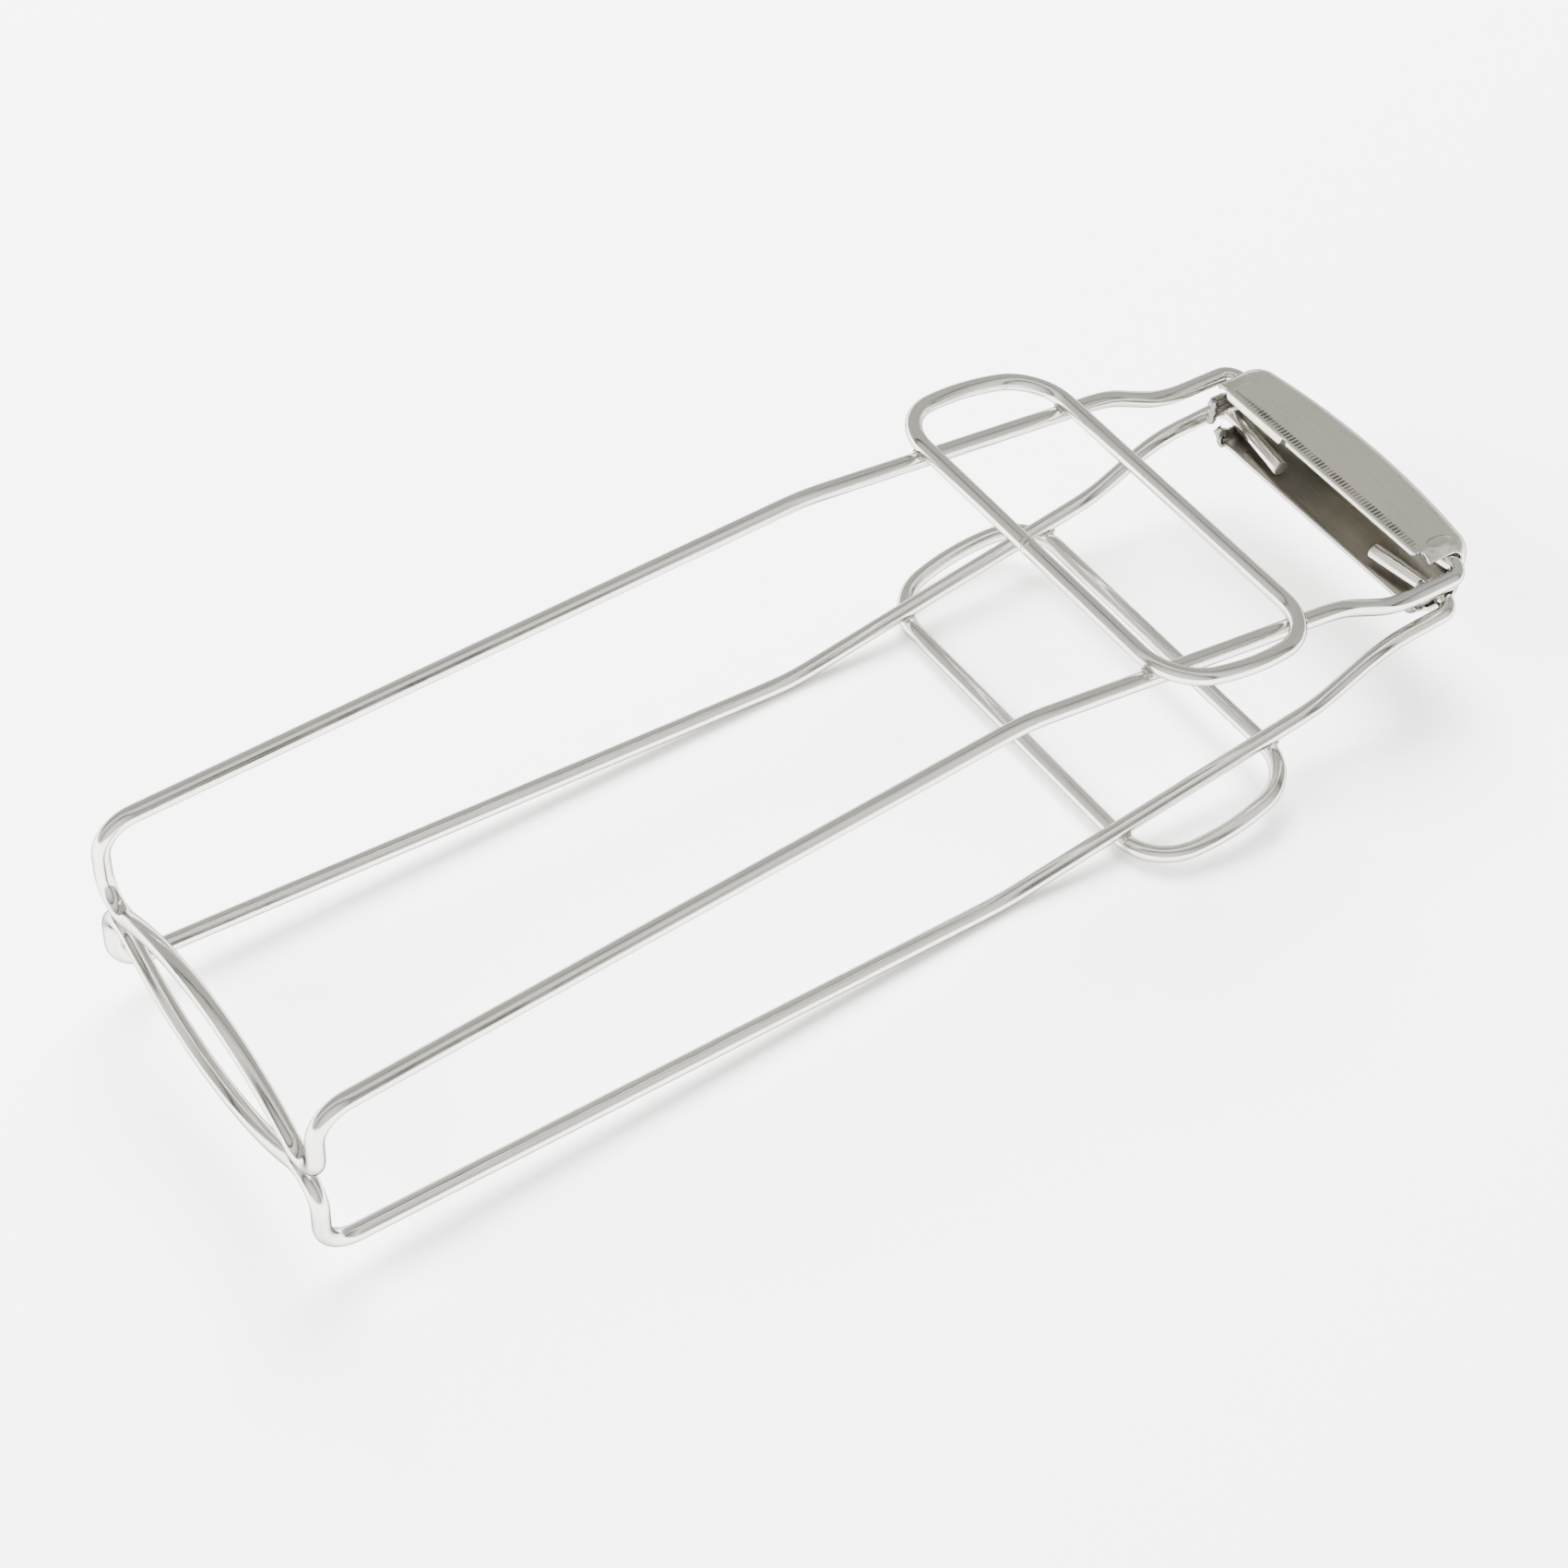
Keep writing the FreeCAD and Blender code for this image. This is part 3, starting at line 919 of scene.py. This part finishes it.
    def ear(self, sign: int, lower: bool) -> Patch:
        """A tongue of the end wall, curled inwards in front of the wall.

        A row is an arc that starts along the wall's front edge and turns in towards the
        inside of the sheet. Its radius swells and shrinks with height, which leaves ribs.

        Args:
            sign: 1 for the +y end, -1 for the other.
            lower: the rounded rim below the lower slot, or the tongue between the slots.

        Returns:
            The ear's skin, which starts on the wall's front edge.
        """
        z = self.heights()
        rim, _ = self.rim(sign)
        if lower:
            rows, column = z <= MERGE - self.pin_z - self.slot_r, self.setback_column
        else:
            rows, column = np.abs(z) <= self.pin_z - self.slot_r + MERGE, 0
        edge = self.crimped(rim)[rows, column]
        z = z[rows]
        slope = np.clip((np.abs(z) - self.half_height + self.edge_r) / self.edge_r, 0.0, 1.0)
        flat = np.sqrt(1.0 - slope ** 2)
        inwards = spread(0.0, -sign * flat, -np.sign(z) * slope)
        turn = np.linspace(0.0, self.lower_ear_turn if lower else self.ear_turn, 22)
        swell = 1.0 + self.ear_swell * self.ribs(z)
        radius = (self.lower_ear_r if lower else self.ear_r) * swell
        reach = radius[:, None] * np.sin(turn)
        curl = radius[:, None] * (1.0 - np.cos(turn))
        points = edge[:, None] + curl[..., None] * inwards[:, None]
        points[..., 0] -= reach
        # Painted shade: the whole ear is darkened towards the sheet's shade colour.
        worked = np.ones(points.shape[:2])
        return Patch(points, spread(MM * turn, z[:, None] / 10.0), values={"worked": worked})

    def build(self, hinge: HingeFrame) -> Piece:
        """Returns the channel, its sheet given its thickness inwards."""
        ears = [self.ear(sign, lower) for sign in (1, -1) for lower in (False, True)]
        piece = surface("hinge_channel_sheet", [self.skin(), *ears], hinge, 50.0)
        wall = piece.modifiers.new("sheet", "SOLIDIFY")
        wall.thickness = MM * self.sheet
        wall.offset = -1.0
        wall.use_even_offset = False
        # The inner face takes the second material, a darker copy of the sheet: painted shade inside
        # the channel.
        wall.material_offset = 1
        # The cut rim takes the third material, a lighter copy of the sheet: painted highlight on
        # its edges.
        wall.material_offset_rim = 2
        return piece


# ---- finishes -----------------------------------------------------------------------------
class Coords(Enum):
    """What a pattern is laid on."""

    OBJECT = "Object"
    UV = "UV"


class NodeSheet:
    """A material's node tree, with the few steps that the finishes share."""

    def __init__(self, name: str) -> None:
        """Starts an empty material with a metal shader.

        Args:
            name: the material's name.
        """
        self.material = bpy.data.materials.new(name)
        self.material.use_nodes = True
        self.tree = self.material.node_tree
        self.shader = self.tree.nodes["Principled BSDF"]
        self.coords = self.tree.nodes.new("ShaderNodeTexCoord")

    def noise(self, coords: Coords, scale: tuple[float, float, float], detail: float) -> Socket:
        """Returns a noise pattern, stretched by a scale for each axis, centred on a half."""
        mapping = self.tree.nodes.new("ShaderNodeMapping")
        mapping.inputs["Scale"].default_value = scale
        texture = self.tree.nodes.new("ShaderNodeTexNoise")
        texture.inputs["Scale"].default_value = 1.0
        texture.inputs["Detail"].default_value = detail
        self.tree.links.new(self.coords.outputs[coords.value], mapping.inputs["Vector"])
        self.tree.links.new(mapping.outputs["Vector"], texture.inputs["Vector"])
        return texture.outputs["Fac"]

    def speckle(self, scale: float, detail: float) -> Socket:
        """Returns a noise pattern with one scale for all three axes of the object."""
        return self.noise(Coords.OBJECT, (scale,) * 3, detail)

    def value(self, name: str) -> Socket:
        """Returns a point value of the mesh."""
        node = self.tree.nodes.new("ShaderNodeAttribute")
        node.attribute_name = name
        return node.outputs["Fac"]

    def ranged(self, source: Socket, low: float, high: float, ends: tuple[float, float]) -> Socket:
        """Returns the source, with low to high spread over the two ends and clamped."""
        node = self.tree.nodes.new("ShaderNodeMapRange")
        node.inputs["From Min"].default_value = low
        node.inputs["From Max"].default_value = high
        node.inputs["To Min"].default_value = ends[0]
        node.inputs["To Max"].default_value = ends[1]
        self.tree.links.new(source, node.inputs["Value"])
        return node.outputs["Result"]

    def maths(self, operation: str, first: Socket, second: object = None) -> Socket:
        """Returns a Math node's value, from a socket and a second socket or number."""
        node = self.tree.nodes.new("ShaderNodeMath")
        node.operation = operation
        self.tree.links.new(first, node.inputs[0])
        if isinstance(second, float):
            node.inputs[1].default_value = second
        elif second is not None:
            self.tree.links.new(second, node.inputs[1])
        return node.outputs["Value"]

    def sum(self, first: Socket, second: Socket) -> Socket:
        """Returns the sum of two values, held between 0 and 1."""
        total = self.maths("ADD", first, second)
        total.node.use_clamp = True
        return total

    def stripes(self, pitch: float) -> Socket:
        """Returns even stripes across the y axis, from 0 to 1, with a pitch in metres."""
        split = self.tree.nodes.new("ShaderNodeSeparateXYZ")
        self.tree.links.new(self.coords.outputs[Coords.OBJECT.value], split.inputs["Vector"])
        turn = self.maths("MULTIPLY", split.outputs["Y"], 2.0 * math.pi / pitch)
        return self.ranged(self.maths("COSINE", turn), -0.5, 0.5, (0.15, 1.0))

    def blend(self, amount: Socket, first: object, second: object) -> Socket:
        """Returns a colour between two, each a colour or a socket."""
        node = self.tree.nodes.new("ShaderNodeMix")
        node.data_type = "RGBA"
        self.tree.links.new(amount, node.inputs["Factor"])
        for source, target in ((first, node.inputs[6]), (second, node.inputs[7])):
            if isinstance(source, tuple):
                target.default_value = (*source, 1.0)
            else:
                self.tree.links.new(source, target)
        return node.outputs[2]

    def bump(self, height: Socket, depth: float, before: Optional[Socket] = None) -> Socket:
        """Returns a normal raised by a height, whose full range is a depth in metres."""
        node = self.tree.nodes.new("ShaderNodeBump")
        node.inputs["Strength"].default_value = 1.0
        node.inputs["Distance"].default_value = depth
        self.tree.links.new(height, node.inputs["Height"])
        if before is not None:
            self.tree.links.new(before, node.inputs["Normal"])
        return node.outputs["Normal"]

    def metal(self, colour: Socket, roughness: Socket, normal: Socket) -> bpy.types.Material:
        """Returns the metal, with the shader's three patterned inputs joined up and a dark grazing
        tint that paints shade into its edge reflections.
        """
        self.tree.links.new(colour, self.shader.inputs["Base Color"])
        self.tree.links.new(roughness, self.shader.inputs["Roughness"])
        self.tree.links.new(normal, self.shader.inputs["Normal"])
        self.shader.inputs["Metallic"].default_value = 1.0
        # Painted shade: the dark grazing tint darkens the reflection at every metal edge.
        self.shader.inputs["Specular Tint"].default_value = (*GRAZING_PAINTED_SHADE, 1.0)
        return self.material


@dataclass(frozen=True)
class DrawnWire:
    """Polished drawn wire: fine scratches along it, soft cloudy patches, tinted by welding."""

    name: str = "polished_wire"
    light: tuple[float, float, float] = (0.80, 0.785, 0.74)
    dull: tuple[float, float, float] = (0.67, 0.655, 0.61)
    straw: tuple[float, float, float] = (0.62, 0.54, 0.42)
    sheared: tuple[float, float, float] = (0.30, 0.29, 0.27)
    scratch_scale: tuple[float, float, float] = (55.0, 48.0, 1.0)
    cloud_scale: float = 140.0
    grain_scale: float = 3200.0

    def material(self) -> bpy.types.Material:
        """Returns the wire's material."""
        sheet = NodeSheet(self.name)
        scratch = sheet.noise(Coords.UV, self.scratch_scale, 5.0)
        cloud = sheet.speckle(self.cloud_scale, 3.0)
        grain = sheet.speckle(self.grain_scale, 2.0)
        colour = sheet.blend(sheet.ranged(scratch, 0.3, 0.7, (0.0, 1.0)), self.dull, self.light)
        heat = sheet.ranged(sheet.value("heat"), 0.25, 1.3, (0.0, 0.4))
        colour = sheet.blend(heat, colour, self.straw)
        cut = sheet.value("cut")
        colour = sheet.blend(sheet.ranged(cut, 0.2, 1.0, (0.0, 0.55)), colour, self.sheared)
        rough = sheet.sum(
            sheet.ranged(scratch, 0.25, 0.75, (0.07, 0.17)),
            sheet.ranged(cloud, 0.35, 0.7, (0.0, 0.1)),
        )
        rough = sheet.sum(rough, sheet.ranged(cut, 0.2, 1.0, (0.0, 0.25)))
        normal = sheet.bump(scratch, 0.000012)
        normal = sheet.bump(grain, 0.000003, normal)
        return sheet.metal(colour, rough, normal)


@dataclass(frozen=True)
class PressedSheet:
    """Satin sheet: brushed along the channel, cloudy, darker in its press marks and in a few
    patches, and darkened by painted shade on the ears.
    """

    name: str
    light: tuple[float, float, float]
    dull: tuple[float, float, float]
    roughness: tuple[float, float]
    mark: tuple[float, float, float] = (0.11, 0.105, 0.09)
    # painted shade colour on the ears, and the colour of the darker patches on the top plate
    worked: tuple[float, float, float] = (0.14, 0.135, 0.12)
    tick_pitch: float = 0.00078
    brush_scale: tuple[float, float, float] = (2600.0, 90.0, 2600.0)
    cloud_scale: float = 110.0
    speck_scale: float = 1500.0

    def material(self) -> bpy.types.Material:
        """Returns this side of the sheet's material."""
        sheet = NodeSheet(self.name)
        brush = sheet.noise(Coords.OBJECT, self.brush_scale, 4.0)
        cloud = sheet.speckle(self.cloud_scale, 4.0)
        speck = sheet.speckle(self.speck_scale, 2.0)
        tone = sheet.sum(
            sheet.ranged(brush, 0.3, 0.7, (0.0, 0.55)),
            sheet.ranged(cloud, 0.3, 0.7, (0.0, 0.45)),
        )
        colour = sheet.blend(tone, self.dull, self.light)
        # Painted shade on the ears, and darker patches at the ends' fronts and behind the lip.
        worked = sheet.ranged(sheet.value("worked"), 0.2, 1.0, (0.0, 0.8))
        colour = sheet.blend(worked, colour, self.worked)
        marked = sheet.maths("MULTIPLY", sheet.value("mark"), sheet.stripes(self.tick_pitch))
        colour = sheet.blend(sheet.ranged(marked, 0.05, 0.8, (0.0, 0.95)), colour, self.mark)
        low, high = self.roughness
        rough = sheet.sum(
            sheet.ranged(brush, 0.3, 0.7, (low, high)),
            sheet.ranged(cloud, 0.35, 0.65, (0.0, 0.08)),
        )
        normal = sheet.bump(brush, 0.000006)
        normal = sheet.bump(speck, 0.000004, normal)
        return sheet.metal(colour, rough, normal)


SATIN_SHEET = PressedSheet("satin_sheet", (0.78, 0.755, 0.685), (0.67, 0.645, 0.58), (0.22, 0.34))
# Painted shade: a darker copy of the sheet for the channel's inner face.
SHADED_INNER_SHEET = PressedSheet("inner_sheet_painted_shade", (0.42, 0.40, 0.36), (0.28, 0.27, 0.24), (0.28, 0.42))
# Painted highlight: a lighter copy of the sheet for its cut edges.
CUT_EDGE_PAINTED_HIGHLIGHT = PressedSheet("cut_edge_painted_highlight", (0.86, 0.85, 0.82), (0.62, 0.61, 0.58), (0.14, 0.3))


@dataclass(frozen=True)
class BrightWeld:
    """Small bright weld metal, with a fine cast skin and darker hollows."""

    name: str = "bright_weld"
    light: tuple[float, float, float] = (0.84, 0.83, 0.80)
    dull: tuple[float, float, float] = (0.55, 0.52, 0.47)
    skin_scale: float = 1400.0

    def material(self) -> bpy.types.Material:
        """Returns the weld's material."""
        sheet = NodeSheet(self.name)
        skin = sheet.speckle(self.skin_scale, 3.0)
        colour = sheet.blend(sheet.ranged(skin, 0.35, 0.65, (0.0, 1.0)), self.dull, self.light)
        rough = sheet.ranged(skin, 0.3, 0.7, (0.16, 0.34))
        return sheet.metal(colour, rough, sheet.bump(skin, 0.00003))


# ---- studio -------------------------------------------------------------------------------
@dataclass(frozen=True)
class Softbox:
    """A square soft light that faces the object's middle, with its place in metres from it."""

    name: str
    place: tuple[float, float, float]
    size: float
    watts: float

    def hang(self) -> None:
        """Adds the light, which lights the pieces but isn't mirrored in them."""
        data = bpy.data.lights.new(self.name, "AREA")
        data.size = self.size
        data.energy = self.watts
        lamp = added(self.name, data)
        lamp.visible_glossy = False
        facing = Vector(self.place).to_track_quat("Z", "Y").to_matrix().to_4x4()
        lamp.matrix_world = Matrix.Translation(self.place) @ facing


@dataclass(frozen=True)
class Studio:
    """A pale floor, a soft grey room with one bright side, two soft lights and one camera.

    The panels are the room's brightness along one direction: positions from 0, straight away
    from it, up to 1, each with a level. The end itself is white.
    """

    aim_offset: tuple[float, float, float] = (-10.51, -0.07, -6.55)
    distance: float = 568.63
    azimuth: float = math.radians(-38.353)
    elevation: float = math.radians(47.69)
    roll: float = math.radians(4.195)
    lens: float = 78.83
    floor_half: float = 6.0
    panel_side: float = 0.35
    panels: tuple[tuple[float, float], ...] = (
        (0.0, 0.50), (0.20, 0.44), (0.38, 0.43), (0.42, 0.47), (0.435, 0.06), (0.47, 0.06),
        (0.485, 0.44), (0.58, 0.56), (0.68, 0.95), (0.765, 0.85), (0.79, 0.05), (0.815, 0.05),
        (0.84, 0.40),
    )
    room_strength: float = 1.7
    softboxes: tuple[Softbox, ...] = (
        Softbox("overhead_softbox", (0.5, 0.9, 1.6), 1.4, 230.0),
        Softbox("left_softbox", (-1.3, 0.3, 1.0), 1.0, 92.0),
    )

    def axes(self) -> tuple[Vector, Vector, Vector]:
        """Returns the camera's right, up and back directions."""
        flat = math.cos(self.elevation)
        right = Vector((math.cos(self.azimuth), math.sin(self.azimuth), 0.0))
        back = Vector((
            math.sin(self.azimuth) * flat, -math.cos(self.azimuth) * flat, math.sin(self.elevation)
        ))
        up = back.cross(right)
        turn = Matrix.Rotation(self.roll, 3, back)
        return turn @ right, turn @ up, back

    def camera(self) -> None:
        """Sets the camera up, aimed near the middle of the object."""
        right, up, back = self.axes()
        low, high = (Vector(corner) for corner in CAD_BOX)
        aim = (low + high) / 2 + MM * Vector(self.aim_offset)
        data = bpy.data.cameras.new("camera")
        data.lens = self.lens
        data.sensor_width = 36.0
        camera = added("camera", data)
        turn = Matrix((right, up, back)).transposed().to_4x4()
        camera.matrix_world = Matrix.Translation(aim + back * self.distance * MM) @ turn
        bpy.context.scene.camera = camera

    def floor(self) -> None:
        """Lays the floor under the object's lowest point."""
        edge = np.linspace(-self.floor_half, self.floor_half, 3)
        x, y = np.meshgrid(edge, edge)
        patch = Patch(spread(x, y, CAD_BOX[0][2]), spread(x, y))
        mesh = bpy.data.meshes.new("floor")
        mesh.from_pydata(patch.points.reshape(-1, 3).tolist(), [], patch.faces(0).tolist())
        sheet = NodeSheet("pale_floor")
        sheet.shader.inputs["Base Color"].default_value = (*FLOOR_COLOUR, 1.0)
        sheet.shader.inputs["Roughness"].default_value = 0.9
        sheet.shader.inputs["Specular IOR Level"].default_value = 0.1
        mesh.materials.append(sheet.material)
        added("floor", mesh)

    def room(self) -> None:
        """Fills the world with soft grey light: one bright side, and two narrow dark bands."""
        world = bpy.data.worlds.new("room")
        bpy.context.scene.world = world
        world.use_nodes = True
        tree = world.node_tree
        background = tree.nodes["Background"]
        coords = tree.nodes.new("ShaderNodeTexCoord")
        across = tree.nodes.new("ShaderNodeVectorMath")
        across.operation = "DOT_PRODUCT"
        side = Vector((math.sin(self.azimuth), -math.cos(self.azimuth), self.panel_side))
        across.inputs[1].default_value = side.normalized()
        ramp = tree.nodes.new("ShaderNodeValToRGB")
        stops = ramp.color_ramp.elements
        for position, level in self.panels:
            stop = stops.new(position) if position > 0.0 else stops[0]
            stop.color = (level, 0.985 * level, 0.93 * level, 1.0)
        spread = tree.nodes.new("ShaderNodeMapRange")
        spread.inputs["From Min"].default_value = -1.0
        tree.links.new(coords.outputs["Generated"], across.inputs[0])
        tree.links.new(across.outputs["Value"], spread.inputs["Value"])
        tree.links.new(spread.outputs["Result"], ramp.inputs["Fac"])
        tree.links.new(ramp.outputs["Color"], background.inputs["Color"])
        background.inputs["Strength"].default_value = self.room_strength

    def build(self) -> None:
        """Puts up the floor, the room, the lights and the camera."""
        self.floor()
        self.room()
        for softbox in self.softboxes:
            softbox.hang()
        self.camera()


# ---- the whole object ---------------------------------------------------------------------
def dress(piece: Piece, body: str, nodes: tuple[str, ...], finishes: list) -> None:
    """Gives a piece its finishes and its body, and hides the nodes that it stands for.

    Args:
        piece: the finished mesh.
        body: the body that it rides on.
        nodes: the frame's nodes that it replaces.
        finishes: its materials, in order.
    """
    for finish in finishes:
        piece.data.materials.append(finish)
    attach(piece, body)
    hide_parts(*nodes)
    log.info("%s: %d faces, rides on %s", piece.name, len(piece.data.polygons), body)


def main() -> None:
    """Builds every piece, the floor, the light and the camera."""
    logging.basicConfig(level=logging.INFO, format="%(name)s: %(message)s")
    hinge = HingeFrame(frame["joints"])
    wire = DrawnWire().material()
    weld = BrightWeld().material()
    for side in Side:
        jaw = JawFrame(side)
        loop = GripLoop(side, jaw)
        dress(jaw.build(hinge), side.body, (f"{side.value}_frame",), [wire])
        dress(loop.build(hinge), side.body, (f"{side.value}_grip_loop",), [wire])
        beads = WeldBeads(loop).build(hinge)
        dress(beads, side.body, (f"{side.value}_weld_beads",), [weld])
    channel = Channel(hinge.pin_z).build(hinge)
    # Outside, inner face and cut rim: the inner copy is painted shade, the rim copy a painted
    # highlight.
    sides = [finish.material() for finish in (SATIN_SHEET, SHADED_INNER_SHEET, CUT_EDGE_PAINTED_HIGHLIGHT)]
    dress(channel, "channel", ("hinge_channel",), sides)
    Studio().build()


if __name__ == "__main__":
    main()
